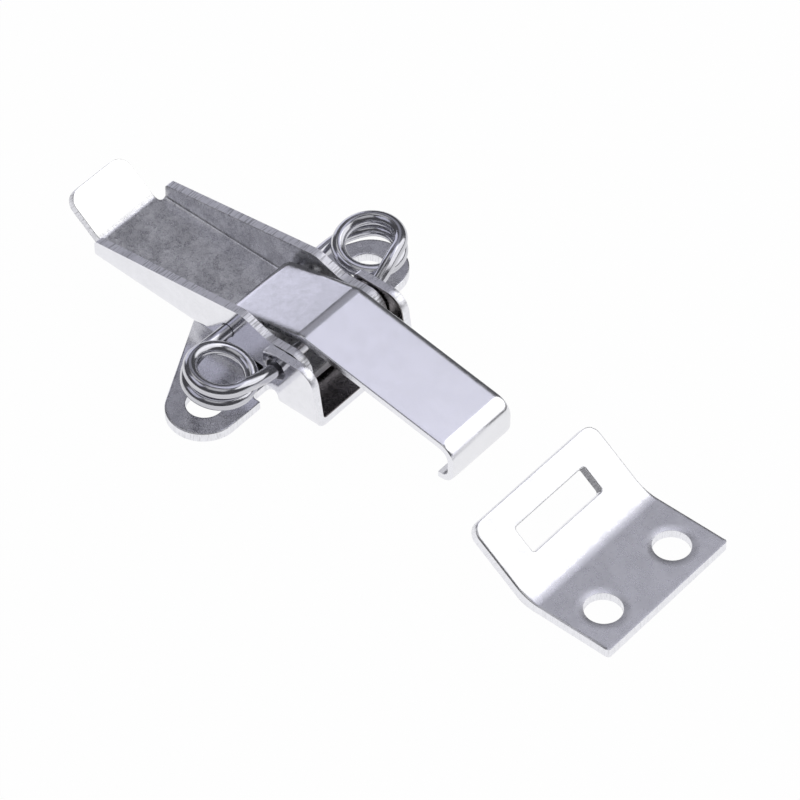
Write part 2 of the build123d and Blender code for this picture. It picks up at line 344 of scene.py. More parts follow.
def rolled_sheet(name, base, roughness, cloud, mottle, speckle, relief, worn=None, pocket_shade=None):
    """Bright cold-rolled sheet: slow clouds, mottling and fine pits, in colour, gloss and relief.

    worn is the stretch along X over which wear polishes the sheet, and the last argument is the
    colour of the painted shade laid over the pocket between the base's ears.
    """
    steel = Shader(name, base, roughness)
    clouds = steel.noise(steel.place, CLOUD_SIZE, detail=2, rough=0.5, distortion=0.4)
    patches = steel.noise(steel.place, PATCH_SIZE, detail=4, rough=0.66, distortion=0.6)
    pits = steel.noise(steel.place, PIT_SIZE, detail=3, rough=0.6)
    total = cloud + mottle + speckle
    blend = 0.0
    for pattern, amount in ((clouds, cloud), (patches, mottle), (pits, speckle)):
        part = steel.math("MULTIPLY", steel.span(pattern, *FADE, 0, 1), amount / total)
        blend = steel.math("ADD", part, blend)
    gloss = steel.span(patches, *SOFT_FADE, *[roughness * part for part in GLOSS_SPREAD])
    rises = [(clouds, CLOUD_DEPTH), (patches, PATCH_DEPTH), (pits, PIT_DEPTH)]
    if worn:
        polish = steel.span(steel.axes()["X"], worn[1], worn[0], 1, 0)
        blend = steel.math("MAXIMUM", blend, polish)
        gloss = steel.math("MULTIPLY", gloss, steel.span(polish, 0, 1, 1, WORN_GLOSS))
        left = steel.span(polish, 0, 1, 1, WORN_RELIEF)
        rises = [(steel.math("MULTIPLY", pattern, left), depth) for pattern, depth in rises]
    steel.tint(blend, 1 - total, 1 + GLINT * total)
    # Painted shade: the floor between the base's ears is darkened in its colour, standing in for
    # the shade of that pocket.
    if pocket_shade:
        spot = steel.axes()
        side = steel.math("ABSOLUTE", spot["Y"])
        pocket = steel.math("MULTIPLY", steel.span(spot["X"], *POCKET_FRONT, 0, 1),
                            steel.span(side, *POCKET_SIDE, 1, 0))
        steel.cover(pocket, pocket_shade)
    steel.join(gloss, steel.metal["Roughness"])
    under = None
    for height, depth in rises:
        under = steel.bump(height, depth * relief, under)
    return steel.material


def sheared_edge(name, base, roughness, ridge, spacing=0.11 * MM):
    """A cut edge: fine ridges across the sheet's thickness, broken up along the cut."""
    steel = Shader(name, base, roughness)
    ridges = steel.noise(steel.attribute("cut_place"), spacing, detail=2, rough=0.6)
    tears = steel.noise(steel.place, TEAR_SIZE, detail=3, rough=0.65, distortion=0.5)
    steel.tint(steel.span(ridges, *EDGE_FADE, 0, 1), 1 - EDGE_SHADE * ridge, EDGE_GLINT)
    gloss = steel.span(tears, *SOFT_FADE, roughness, roughness * TEAR_DULL)
    steel.join(gloss, steel.metal["Roughness"])
    step = steel.bump(ridges, RIDGE_DEPTH * ridge)
    steel.bump(tears, TEAR_DEPTH * (TEAR_LEAST + ridge), step)
    return steel.material


def drawn_wire(name, base):
    """Bright drawn spring wire, with faint draw marks along it."""
    steel = Shader(name, base, WIRE_GLOSS[0])
    marks = steel.noise(steel.attribute("wire_place"), DRAW_SIZE, detail=3, rough=0.6)
    smears = steel.noise(steel.place, SMEAR_SIZE, detail=3, rough=0.6, distortion=0.5)
    steel.tint(steel.span(marks, *DRAW_FADE, 0, 1), *DRAW_TINT)
    steel.join(steel.span(smears, *SOFT_FADE, *WIRE_GLOSS), steel.metal["Roughness"])
    steel.bump(marks, DRAW_DEPTH)
    return steel.material


# ------ sheet pieces
PATCH_FOLD = 35  # degrees: faces that meet more gently are one patch
BURR_FOLD = 40  # degrees: edges that meet more sharply are rounded
SMOOTH_FOLD = 50  # degrees: edges that meet more gently are shaded smooth
FLAT_FOLD = 0.25  # degrees: faces that meet more gently are one flat face
SHEET_CLOSE = 0.12  # a wall this near the sheet's thickness, as a share, is sheet
SKIN_SHARE, SKIN_LEAST = 0.6, 40 * MM * MM  # a skin is this share sheet, and this large
FLATNESS = 50  # weight of the large faces in the shading

UPPER, CUT, UNDER, SLOT_END = range(4)  # a sheet piece's materials

# Rings of a rolled rim, as shares of its width.
ROLL_RINGS = (0.0, 0.05, 0.15, 0.28, 0.42, 0.57, 0.72, 0.86, 1.0, 1.15)
DISH_RINGS = (1.15, 1.4, 1.7, 2.0, 2.35, 2.7)  # further rings round a dished hole
DISH_MARGIN = 1.3  # where a dish's rings end, as a share of its width
SHARPEST_MITRE = 0.6  # the least cosine at a ring's corner
ROLL_ONSET = 2.4  # the higher, the more gently the roll begins

BEND_STEPS = 20  # strips across the strike's softened bend
SLOPED = (0.5, 0.95)  # upward part of the normal, on the strike's flange
FLANGE_SHARE = 0.42  # the flange's part of the strike's length
RIM_SHARE = 1.2  # how far in the strike's rims reach, as a share of their roll
SIDE_BLEND = 3.0 * MM  # the sides' deeper roll fades out over this length
SLOT_END_DEPTH = 2.0 * MM  # the slot's ends lie deeper in the strike than this
SLOT_END_TURN = -0.6  # part of the normal along Y, at the slot's far end


def welded(node):
    """A welded copy of a CAD node's mesh."""
    shell = bmesh.new()
    shell.from_mesh(frame["nodes"][node].data)
    bmesh.ops.remove_doubles(shell, verts=shell.verts, dist=WELD)
    bmesh.ops.recalc_face_normals(shell, faces=shell.faces)
    return shell


def smooth_patches(shell):
    """Groups of faces that run on smoothly into each other, as a number on each face."""
    patch = shell.faces.layers.int.new("patch")
    fold = math.radians(PATCH_FOLD)
    count = 0
    for start in shell.faces:
        if start[patch]:
            continue
        count += 1
        start[patch] = count
        waiting = [start]
        while waiting:
            for edge in waiting.pop().edges:
                if len(edge.link_faces) != 2 or edge.calc_face_angle(math.pi) > fold:
                    continue
                for other in edge.link_faces:
                    if not other[patch]:
                        other[patch] = count
                        waiting.append(other)
    return patch, count


def skins(shell, patch, count, sheet):
    """The patches that have the sheet's own thickness straight behind them: upper one first."""
    tree = BVHTree.FromBMesh(shell)
    area = np.zeros(count + 1)
    thin = np.zeros(count + 1)
    upward = np.zeros(count + 1)
    back = 5 * WELD
    for face in shell.faces:
        size = face.calc_area()
        hit = tree.ray_cast(face.calc_center_median() - face.normal * back, -face.normal)
        area[face[patch]] += size
        upward[face[patch]] += size * face.normal.z
        if hit[0] is not None and abs(hit[3] + back - sheet) < SHEET_CLOSE * sheet:
            thin[face[patch]] += size
    found = [
        n for n in range(1, count + 1) if thin[n] > SKIN_SHARE * area[n] and area[n] > SKIN_LEAST
    ]
    if len(found) != 2:
        raise RuntimeError(f"{len(found)} skins were found on a sheet, not 2")
    return sorted(found, key=lambda n: -upward[n])


def patch_faces(shell, patch, skin):
    """The faces of one patch."""
    return [face for face in shell.faces if face[patch] == skin]


def flatten_fans(shell):
    """Joins up the small triangles of each flat face, and the pairs that make a quad."""
    bmesh.ops.dissolve_limit(
        shell, angle_limit=math.radians(FLAT_FOLD), verts=shell.verts, edges=shell.edges,
        use_dissolve_boundaries=False, delimit={"SEAM"},
    )
    bmesh.ops.join_triangles(
        shell, faces=[f for f in shell.faces if len(f.verts) == 3],
        angle_face_threshold=math.radians(8), angle_shape_threshold=math.radians(60),
    )


def at_hole(place, holes):
    """Whether a place is on the dished ring of one of the holes."""
    margin = settings().sheet.dish_width * DISH_MARGIN
    return any((place - middle).xy.length < radius + margin for middle, radius in holes)


def outline(region):
    """Each side of the region's outline: its start, its end and its face inside."""
    inside = set(region)
    return [
        (loop.vert, loop.link_loop_next.vert, face)
        for face in region for loop in face.loops
        if any(f not in inside for f in loop.edge.link_faces)
    ]


def add_ring(shell, region, width, holes):
    """Moves the region's outline in by width and fills the gap with quads, face by face.

    Where holes are given, as middles and radii, only their own rims move.
    """
    sides = outline(region)
    if holes is not None:
        sides = [side for side in sides if at_hole(side[0].co, holes)]
    ways = {}
    for start, end, face in sides:
        way = face.normal.cross(end.co - start.co).normalized()
        ways.setdefault(start, []).append(way)
        ways.setdefault(end, []).append(way)
    moved = {}
    for vert, pair in ways.items():
        middle = sum(pair, Vector()).normalized()
        reach = width / max(SHARPEST_MITRE, middle.dot(pair[0]))
        moved[vert] = shell.verts.new(vert.co + middle * reach)
    touched = [face for face in region if any(v in moved for v in face.verts)]
    kept = [face for face in region if not any(v in moved for v in face.verts)]
    inner = [shell.faces.new([moved.get(v, v) for v in face.verts], face) for face in touched]
    for start, end, face in sides:
        shell.faces.new((start, end, moved[end], moved[start]), face)
    bmesh.ops.delete(shell, geom=touched, context="FACES")
    shell.normal_update()
    return kept + inner, moved.values()


def roll_edges(shell, patch, skin, width, drop_at, holes):
    """The rolled-over rim of a punched edge: rings in the skin's outline that drop towards it."""
    region = patch_faces(shell, patch, skin)
    reach = {vert: 0.0 for start, end, _ in outline(region) for vert in (start, end)}
    for rings, where in ((ROLL_RINGS, None), (DISH_RINGS, holes)):
        for near, far in zip(rings, rings[1:]):
            region, ring = add_ring(shell, region, (far - near) * width, where)
            reach.update({vert: far for vert in ring})
    fall = {}
    for vert, far in reach.items():
        own = [face for face in vert.link_faces if face[patch] == skin]
        lean = sum((face.normal * face.calc_area() for face in own), Vector()).normalized()
        rest = max(0.0, 1 - far)
        fall[vert] = lean * drop_at(vert.co, 1 - math.sqrt(1 - rest ** ROLL_ONSET))
    for vert, change in fall.items():
        vert.co -= change


def mark_faces(shell, patch, found):
    """Gives the rolled skin, the other skin and the cut edge between them their materials."""
    number = {found[0]: UPPER, found[1]: UNDER}
    for face in shell.faces:
        face.material_index = number.get(face[patch], CUT)
        face.smooth = True


def cut_across(shell, rows):
    """Cuts the sheet across X at each of the rows."""
    for row in rows:
        bmesh.ops.bisect_plane(
            shell, geom=shell.verts[:] + shell.edges[:] + shell.faces[:], dist=WELD,
            plane_co=(row, 0, 0), plane_no=(1, 0, 0),
        )


def soften_bend(shell, patch, skin, own):
    """Fills the strike's inner bend with a wider round, on its upper skin only."""
    upper = patch_faces(shell, patch, skin)
    sloped = [face for face in upper if SLOPED[0] < face.normal.z < SLOPED[1]]
    flange = max(sloped, key=lambda face: face.calc_area())
    foot = min(vert.co.z for face in upper for vert in face.verts)
    slope = math.acos(flange.normal.z)
    corner = flange.verts[0].co
    crease = corner.x + (corner.z - foot) / math.tan(slope)
    radius = own.strike_bend
    start = crease + radius * math.tan(slope / 2)
    reach = radius * math.sin(slope)
    end = start - reach
    cut_across(shell, [end + (start - end) * step / BEND_STEPS for step in range(BEND_STEPS + 1)])

    # One more row through the slot and one through the holes keep the flat faces short.
    edges = [
        (axis, limit([vert.co[axis] for vert in shell.verts]))
        for axis in (0, 1) for limit in (min, max)
    ]
    inside = [
        vert.co.x for face in patch_faces(shell, patch, skin) for vert in face.verts
        if all(abs(vert.co[axis] - edge) > SLOT_END_DEPTH for axis, edge in edges)
    ]
    flat = [x for x in inside if x < end - WELD], [x for x in inside if x > start + WELD]
    cut_across(shell, [(min(places) + max(places)) / 2 for places in flat])
    for edge in shell.edges:
        edge.seam = abs(edge.verts[0].co.x - edge.verts[1].co.x) < WELD
    flatten_fans(shell)
    for vert in {vert for face in patch_faces(shell, patch, skin) for vert in face.verts}:
        back = start - vert.co.x
        if 0 < back < reach:
            vert.co.z = max(vert.co.z, foot + radius - math.sqrt(radius ** 2 - back ** 2))
    shell.normal_update()


def sheet_piece(node, name, sheet, roll, materials, drop_at, holes=(), bend=None):
    """A detailed piece for one folded sheet: rolled rims, softened burrs and marked cut edges."""
    shell = welded(node)
    patch, count = smooth_patches(shell)
    found = skins(shell, patch, count, sheet)
    skin_faces = [face for face in shell.faces if face[patch] in found]
    tree = BVHTree.FromPolygons(
        [v.co.copy() for v in shell.verts], [[v.index for v in f.verts] for f in skin_faces]
    )
    flatten_fans(shell)
    shell.normal_update()
    if bend:
        bend(shell, patch, found[0], settings().sheet)
    roll_edges(shell, patch, found[0], roll, drop_at, holes)
    shell.normal_update()
    mark_faces(shell, patch, found)
    sharp = [
        edge for edge in shell.edges
        if len(edge.link_faces) == 2 and edge.calc_face_angle(0) > math.radians(BURR_FOLD)
    ]
    bmesh.ops.bevel(
        shell, geom=sharp, offset=settings().sheet.burr_round, offset_type="OFFSET", segments=2,
        profile=0.5, affect="EDGES", clamp_overlap=True, material=-1,
    )
    mesh = bpy.data.meshes.new(name)
    shell.to_mesh(mesh)
    shell.free()
    for old in ("custom_normal", "patch"):
        if old in mesh.attributes:
            mesh.attributes.remove(mesh.attributes[old])
    run = mesh.attributes.new("cut_place", "FLOAT_VECTOR", "POINT")
    places = np.zeros((len(mesh.vertices), 3), np.float32)
    for vert in mesh.vertices:
        normal = tree.find_nearest(vert.co)[1]
        places[vert.index] = vert.co - RIDGE_LENGTH * vert.co.dot(normal) * normal
    run.data.foreach_set("vector", places.ravel())
    for material in materials:
        mesh.materials.append(material)
    piece = link(mesh, name + ".raw")
    mesh.set_sharp_from_angle(angle=math.radians(SMOOTH_FOLD))
    weigh = piece.modifiers.new("Flat faces first", "WEIGHTED_NORMAL")
    weigh.mode = "FACE_AREA"
    weigh.weight = FLATNESS
    weigh.keep_sharp = True
    finished = link(plain_mesh(piece, name), name)
    bpy.data.objects.remove(piece)
    return finished


def seat(piece, node, body):
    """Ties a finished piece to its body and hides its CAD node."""
    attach(piece, body)
    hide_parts(node)


def bright_outside(name):
    """Smooth bright sheet for the outer sides of the base and the lever."""
    return rolled_sheet(name, settings().steel.outside_colour, 0.12, cloud=0.02, mottle=0.02,
                        speckle=0.02, relief=0.3)


def even_drop(roll):
    """The drop of a rim that is rolled alike all round: it grows with a part from 0 to 1."""
    depth = roll * settings().sheet.roll_depth
    return lambda place, part: depth * part


class LATCH_OT_base_bracket(bpy.types.Operator):
    """Make the base bracket with its two ears"""

    bl_idname = "latch.base_bracket"
    bl_label = "Base bracket"

    def execute(self, context):
        sizes, steel = settings().sheet, settings().steel
        materials = (
            # The base's sheet carries painted shade in the pocket between its ears.
            rolled_sheet("base sheet", steel.base_colour, 0.27, cloud=0.05, mottle=0.12,
                         speckle=0.14, relief=1.6, pocket_shade=steel.pocket_shade_colour),
            sheared_edge("base cut edge", steel.cut_colour, 0.26, ridge=0.32),
            bright_outside("base outside"),
        )
        piece = sheet_piece("base_bracket", "bracket", sizes.base_sheet, sizes.base_roll,
                            materials, even_drop(sizes.base_roll))
        seat(piece, "base_bracket", "base")
        return {"FINISHED"}


class LATCH_OT_lever_handle(bpy.types.Operator):
    """Make the channel shaped lever with its finger tab"""

    bl_idname = "latch.lever_handle"
    bl_label = "Lever handle"

    def execute(self, context):
        sizes, steel = settings().sheet, settings().steel
        materials = (
            rolled_sheet("lever sheet", steel.lever_colour, 0.30, cloud=0.14, mottle=0.16,
                         speckle=0.26, relief=1.9,
                         worn=(sizes.tab_worn_from, sizes.tab_worn_to)),
            sheared_edge("lever cut edge", steel.cut_colour, 0.40, ridge=0.7, spacing=0.2 * MM),
            bright_outside("lever outside"),
        )
        piece = sheet_piece("lever_handle", "lever", sizes.lever_sheet, sizes.lever_roll,
                            materials, even_drop(sizes.lever_roll))
        seat(piece, "lever_handle", "lever")
        return {"FINISHED"}


class LATCH_OT_draw_claw(bpy.types.Operator):
    """Make the hooked draw claw with its rolled eye"""

    bl_idname = "latch.draw_claw"
    bl_label = "Draw claw"

    def execute(self, context):
        sizes, steel = settings().sheet, settings().steel
        materials = (
            rolled_sheet("claw sheet", steel.claw_colour, 0.19, cloud=0.02, mottle=0.015,
                         speckle=0.02, relief=0.16),
            sheared_edge("claw cut edge", steel.cut_colour, 0.22, ridge=0.2),
            rolled_sheet("claw underside", steel.claw_colour, 0.22, cloud=0.03, mottle=0.04,
                         speckle=0.03, relief=0.5),
        )
        even = even_drop(sizes.claw_roll)

        def drop_at(place, part):
            """Drop of the upper skin, less at the near edge."""
            return even(place, part) * (sizes.claw_near_share if place.y < 0 else 1)

        piece = sheet_piece("draw_claw", "claw", sizes.claw_sheet, sizes.claw_roll,
                            materials, drop_at)
        seat(piece, "draw_claw", "claw")
        return {"FINISHED"}


class LATCH_OT_strike_plate(bpy.types.Operator):
    """Make the slotted strike plate, with the dished rims of its screw holes"""

    bl_idname = "latch.strike_plate"
    bl_label = "Strike plate"

    def execute(self, context):
        sizes, steel = settings().sheet, settings().steel
        materials = (
            rolled_sheet("strike sheet", steel.strike_colour, 0.29, cloud=0.05, mottle=0.02,
                         speckle=0.02, relief=0.2),
            sheared_edge("strike cut edge", steel.cut_colour, 0.24, ridge=0.2),
            rolled_sheet("strike underside", steel.strike_colour, 0.22, cloud=0.04, mottle=0.04,
                         speckle=0.03, relief=0.6),
            # Painted shade: the slot's far end is a dark cut edge, standing in for the shade
            # inside the slot.
            sheared_edge("slot end", steel.slot_end_shade_colour, 0.4, ridge=0.8),
        )
        holes = strike_holes()
        low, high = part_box("strike_plate")
        flange_end = low[0] + (high[0] - low[0]) * FLANGE_SHARE
        rim = sizes.strike_roll * RIM_SHARE
        near_rim, far_rim, foot_rim = low[1] + rim, high[1] - rim, high[0] - rim
        depth = sizes.strike_roll * sizes.roll_depth

        def drop_at(place, part):
            """Drop of the upper skin: a dish round each hole, and a deeper roll on the sides."""
            for middle, radius in holes:
                out = max(0.0, ((place - middle).xy.length - radius) / sizes.dish_width)
                if out < 1:
                    return sizes.dish_depth * (1 - out) ** 2
            if place.x > foot_rim:
                return depth * part * sizes.strike_front_share
            if near_rim < place.y < far_rim:
                return depth * part * sizes.strike_edge_share
            onward = min(1.0, max(0.0, (place.x - flange_end) / SIDE_BLEND))
            side = sizes.strike_side_share * (1 - onward) + sizes.strike_edge_share * onward
            return depth * part * side

        piece = sheet_piece("strike_plate", "strike", sizes.strike_sheet, sizes.strike_roll,
                            materials, drop_at, holes=holes, bend=soften_bend)
        # Faces at the slot's far end take the dark material that paints the shade inside the slot.
        near, far = low[1] + SLOT_END_DEPTH, high[1] - SLOT_END_DEPTH
        for face in piece.data.polygons:
            in_slot = face.center.x < flange_end and near < face.center.y < far
            if in_slot and face.normal.y < SLOT_END_TURN and face.material_index == CUT:
                face.material_index = SLOT_END
        seat(piece, "strike_plate", "base")
        return {"FINISHED"}


def strike_holes():
    """Middle and radius of each screw hole of the strike plate, from the record's mount."""
    mount = [m for m in frame["record"]["mounts"] if m["name"] == "strike_holes"][0]
    dims = mount["dims"]
    middle = Vector(mount["pos_m"])
    step = Vector((0, dims["spacing_y_mm"] * MM / 2, 0))
    return [(middle + step * side, dims["hole_r_mm"] * MM) for side in (-1, 1)]


# ------ springs
class GeometryTree(Nodes):
    """A geometry node tree with named inputs."""

    def __init__(self, name):
        super().__init__(bpy.data.node_groups.new(name, "GeometryNodeTree"))
        self.inlet = self.tree.nodes.new("NodeGroupInput")
        self.outlet = self.tree.nodes.new("NodeGroupOutput")
        sockets = self.tree.interface
        sockets.new_socket("Geometry", in_out="OUTPUT", socket_type="NodeSocketGeometry")

    def ask(self, kind, *names):
        """New named inputs of one kind."""
        for name in names:
            self.tree.interface.new_socket(name, in_out="INPUT", socket_type="NodeSocket" + kind)

    def given(self, name):
        """The value of a named input."""
        return self.inlet.outputs[name]

    def captured(self, curve, name, value):
        """A curve that keeps a value as a field, and the outputs that give both."""
        made = self.node("GeometryNodeCaptureAttribute")
        made.capture_items.new("FLOAT", name)
        self.join(curve, made.inputs["Geometry"])
        self.join(value, made.inputs[name])
        return made.outputs


BEND_ENDS = ("start", "start handle", "end handle", "end")
WIRE_WELD = 0.01 * MM  # the wire's runs are joined where their ends are this near
CHAMFER_FROM, CHAMFER_LEFT = 0.4985, 0.76  # its start, from the middle, and the last thickness
MARK_STRETCH = 0.03  # the draw marks are this much longer than wide
SHARP_WIRE = 35  # degrees: edges that meet more gently are shaded smooth


def wire_tree():
    """One bent wire, swept as one tube: leg, bend, coil, bend and leg."""
    make = GeometryTree("spring wire")
    given = make.given

    def geo(kind, *setup, **values):
        """A geometry node."""
        return make.node("GeometryNode" + kind, *setup, **values)

    make.ask("Float", "Wire diameter", "Coil radius", "Coil turns", "Coil height")
    make.ask("Bool", "Clockwise")
    make.ask("Vector", "Coil middle", "Coil axis", "Coil start", "Ear leg tip", "Eye leg tip")
    for name in ("Ear bend", "Eye bend"):
        make.ask("Vector", *[f"{name} {end}" for end in BEND_ENDS])
    make.ask("Int", "Sides", "Bend steps", "Turn steps", "Leg steps")
    make.ask("Material", "Wire")

    runs = []
    ends = (("Ear leg tip", "Ear bend", "start"), ("Eye leg tip", "Eye bend", "end"))
    for tip, bend, end in ends:
        leg = geo("CurvePrimitiveLine", Start=given(tip), End=given(f"{bend} {end}"))
        steps = geo("ResampleCurve", Curve=leg.outputs["Curve"], Count=given("Leg steps"))
        runs.append(steps.outputs["Curve"])
        curve = geo("CurvePrimitiveBezierSegment", {"mode": "POSITION"},
                    Resolution=given("Bend steps"), Start=given(f"{bend} start"),
                    Start_Handle=given(f"{bend} start handle"),
                    End_Handle=given(f"{bend} end handle"), End=given(f"{bend} end"))
        runs.append(curve.outputs["Curve"])
    spiral = geo("CurveSpiral", Resolution=given("Turn steps"), Rotations=given("Coil turns"),
                 Start_Radius=given("Coil radius"), End_Radius=given("Coil radius"),
                 Height=given("Coil height"), Reverse=given("Clockwise"))
    lean = make.node("FunctionNodeAxesToRotation", {"primary_axis": "Z", "secondary_axis": "X"},
                     Primary_Axis=given("Coil axis"), Secondary_Axis=given("Coil start"))
    coil = geo("Transform", Geometry=spiral.outputs["Curve"], Translation=given("Coil middle"),
               Rotation=lean.outputs["Rotation"])
    runs.append(coil.outputs["Geometry"])

    joined = geo("JoinGeometry")
    for run in runs:
        make.join(run, joined.inputs["Geometry"])
    chain = geo("CurveToMesh", Curve=joined.outputs["Geometry"])
    welds = geo("MergeByDistance", Geometry=chain.outputs["Mesh"], Distance=WIRE_WELD)
    wire = geo("MeshToCurve", Mesh=welds.outputs["Geometry"])

    # A small chamfer at both ends: the tube is thinner over the first step of each leg.
    place = geo("SplineParameter").outputs
    middle = make.math("ABSOLUTE", make.math("SUBTRACT", place["Factor"], 0.5))
    thick = make.node("ShaderNodeMapRange", Value=middle, From_Min=CHAMFER_FROM, From_Max=0.5,
                      To_Min=1.0, To_Max=CHAMFER_LEFT)
    shaped = geo("SetCurveRadius", Curve=wire.outputs["Curve"], Radius=thick.outputs["Result"])
    along = make.captured(shaped.outputs["Curve"], "Along", place["Length"])

    half = make.math("MULTIPLY", given("Wire diameter"), 0.5)
    ring = geo("CurvePrimitiveCircle", {"mode": "RADIUS"}, Resolution=given("Sides"), Radius=half)
    ring_place = geo("SplineParameter").outputs
    about = make.captured(ring.outputs["Curve"], "Round", ring_place["Factor"])
    tube = geo("CurveToMesh", Curve=along["Geometry"], Profile_Curve=about["Geometry"],
               Fill_Caps=True)

    # Place on the wire for its draw marks: round it in X and Y, and slowly along it in Z.
    angle = make.math("MULTIPLY", about["Round"], math.tau)
    spot = make.node("ShaderNodeCombineXYZ",
                     X=make.math("MULTIPLY", make.math("COSINE", angle), half),
                     Y=make.math("MULTIPLY", make.math("SINE", angle), half),
                     Z=make.math("MULTIPLY", along["Along"], MARK_STRETCH))
    marked = geo("StoreNamedAttribute", {"data_type": "FLOAT_VECTOR", "domain": "POINT"},
                 Geometry=tube.outputs["Mesh"], Name="wire_place", Value=spot.outputs["Vector"])
    smooth = geo("SetShadeSmooth", Geometry=marked.outputs["Geometry"])
    real = geo("RealizeInstances", Geometry=smooth.outputs["Geometry"])
    dressed = geo("SetMaterial", Geometry=real.outputs["Geometry"], Material=given("Wire"))
    make.join(dressed.outputs["Geometry"], make.outlet.inputs["Geometry"])
    return make.tree


def bend_points(start, leave, end, arrive):
    """Control points of the smooth bend from one run of the wire into the next."""
    chord = end - start
    handle = (abs(chord.x) + abs(chord.y) + abs(chord.z)) / 3
    return start, start + leave * handle, end - arrive * handle, end


def wire_route(own, side, outer_tip, rear_tip, setback):
    """Inputs of the wire tree for the spring on one side."""
    joints = frame["record"]["behaviour"]["joints"]
    lever_pivot, claw_pivot = [Vector(joint["pos_m"]) for joint in joints]
    pitch = own.wire_diameter + own.turn_gap
    strand_drop = own.inner_strand * pitch
    inner_reach = (own.coil_radius * math.cos(outer_tip) - strand_drop * math.sin(outer_tip)
                   + own.wire_diameter / 2)
    forward = Vector((math.cos(rear_tip), 0, -math.sin(rear_tip)))
    outward = Vector((0, side * math.cos(outer_tip), math.sin(outer_tip)))
    axis = (forward.cross(outward) * -side).normalized()
    first = Matrix.Rotation(-side * own.ear_lead, 3, axis) @ forward
    middle = Vector((lever_pivot.x - setback, side * (own.ear_side + own.side_gap + inner_reach),
                     lever_pivot.z + own.rise)) + axis * (pitch * own.ear_lead / math.tau)
    turns = own.turns - (own.ear_lead + own.eye_lead) / math.tau
    second = axis.cross(first) * -side

    def on_coil(part):
        """Place on the coil and direction of the wire, after a share of its turns."""
        angle = math.tau * turns * part
        out = first * math.cos(angle) + second * math.sin(angle)
        run = (second * math.cos(angle) - first * math.sin(angle)) * own.coil_radius
        place = middle + out * own.coil_radius + axis * (pitch * turns * part)
        return place, (run + axis * (pitch / math.tau)).normalized()

    across = Vector((0, side, 0))
    ear_end = lever_pivot + across * own.bend_side
    eye_end = claw_pivot + across * own.bend_side
    inputs = {
        "Wire diameter": own.wire_diameter, "Coil radius": own.coil_radius,
        "Coil turns": turns, "Coil height": pitch * turns, "Clockwise": side < 0,
        "Coil middle": middle, "Coil axis": axis, "Coil start": first,
        "Ear leg tip": lever_pivot + across * own.ear_leg_tip,
        "Eye leg tip": claw_pivot + across * own.eye_leg_tip,
        "Sides": own.sides, "Bend steps": own.bend_steps, "Turn steps": own.turn_steps,
        "Leg steps": own.leg_steps,
    }
    start, leaving = on_coil(0)
    end, ending = on_coil(1)
    bends = {
        "Ear bend": bend_points(ear_end, across, start, leaving),
        "Eye bend": bend_points(end, ending, eye_end, -across),
    }
    for name, points in bends.items():
        inputs.update({f"{name} {key}": point for key, point in zip(BEND_ENDS, points)})
    return inputs


def grown(tree, name, inputs):
    """Runs a geometry tree with its named inputs and keeps the result as a plain piece."""
    seed = link(bpy.data.meshes.new(name + ".seed"), name + ".seed")
    run = seed.modifiers.new("Wire", "NODES")
    run.node_group = tree
    sockets = [item for item in tree.interface.items_tree if item.in_out == "INPUT"]
    keys = {item.name: item.identifier for item in sockets}
    for key, value in inputs.items():
        run[keys[key]] = tuple(value) if isinstance(value, Vector) else value
    mesh = plain_mesh(seed, name)
    bpy.data.objects.remove(seed)
    shell = bmesh.new()
    shell.from_mesh(mesh)
    bmesh.ops.recalc_face_normals(shell, faces=shell.faces)
    shell.to_mesh(mesh)
    shell.free()
    mesh.set_sharp_from_angle(angle=math.radians(SHARP_WIRE))
    return link(mesh, name)


class LATCH_OT_springs(bpy.types.Operator):
    """Bend the two wire springs"""

    bl_idname = "latch.springs"
    bl_label = "Springs"

    def execute(self, context):
        own = settings().spring
        tree = wire_tree()
        wire = drawn_wire("spring wire", settings().steel.wire_colour)
        seats = {
            "left": (1, own.left_outer_tip, own.left_rear_tip, own.left_setback),
            "right": (-1, own.right_outer_tip, own.right_rear_tip, own.right_setback),
        }
        for name, place in seats.items():
            piece = grown(tree, f"{name}_wire", {**wire_route(own, *place), "Wire": wire})
            seat(piece, f"spring_{name}", "lever")
        return {"FINISHED"}


# ------ stage
COOL = (0.86, 0.86, 1.0)
NEUTRAL = (1.0, 1.0, 1.0)
# Name, direction round from +X and height in degrees, size in metres, brightness and tint.
SOFT_LAMPS = (
    ("right lamp", 50, 39, (0.76, 0.74), 1.30, NEUTRAL),
    ("top lamp", 98, 68, (0.34, 0.36), 0.87, COOL),
    ("left lamp", 157, 14, (0.42, 0.36), 0.97, COOL),
    ("rear lamp", 133, 45, (0.30, 0.24), 0.28, COOL),
    ("strike lamp", 111.5, 50.5, (0.08, 0.09), 0.42, COOL),
    ("front left lamp", 230, 47, (0.44, 0.34), 0.75, COOL),
    ("crease lamp", 178, 64, (0.24, 0.24), 0.60, NEUTRAL),
    ("front lamp", -60, 66, (0.45, 0.45), 0.55, NEUTRAL),
)
LAMP_DISTANCE = 0.70
LAMP_AIM = Vector((0.017, -0.002, 0.005))  # the object's middle, which all lamps face
ROOM_TINT = (0.94, 0.94, 1.0)
FLOOR_HALF = 3.0
FLOOR_DROP = 0.02 * MM
SENSOR = 36.0  # millimetres
CLIP = (0.01, 20)


def soft_lamp(name, bearing, height, size, level, tint):
    """A rectangular soft lamp, turned to the middle, that looks level bright in a mirror."""
    data = bpy.data.lights.new(name, "AREA")
    data.shape = "RECTANGLE"
    data.size, data.size_y = size
    data.color = tint
    data.energy = level * math.pi * size[0] * size[1]
    flat = math.cos(height)
    away = Vector((math.cos(bearing) * flat, math.sin(bearing) * flat, math.sin(height)))
    made = link(data, name)
    made.location = LAMP_AIM + away * LAMP_DISTANCE
    made.rotation_mode = "QUATERNION"
    made.rotation_quaternion = (-away).to_track_quat("-Z", "Y")
    made.visible_camera = False


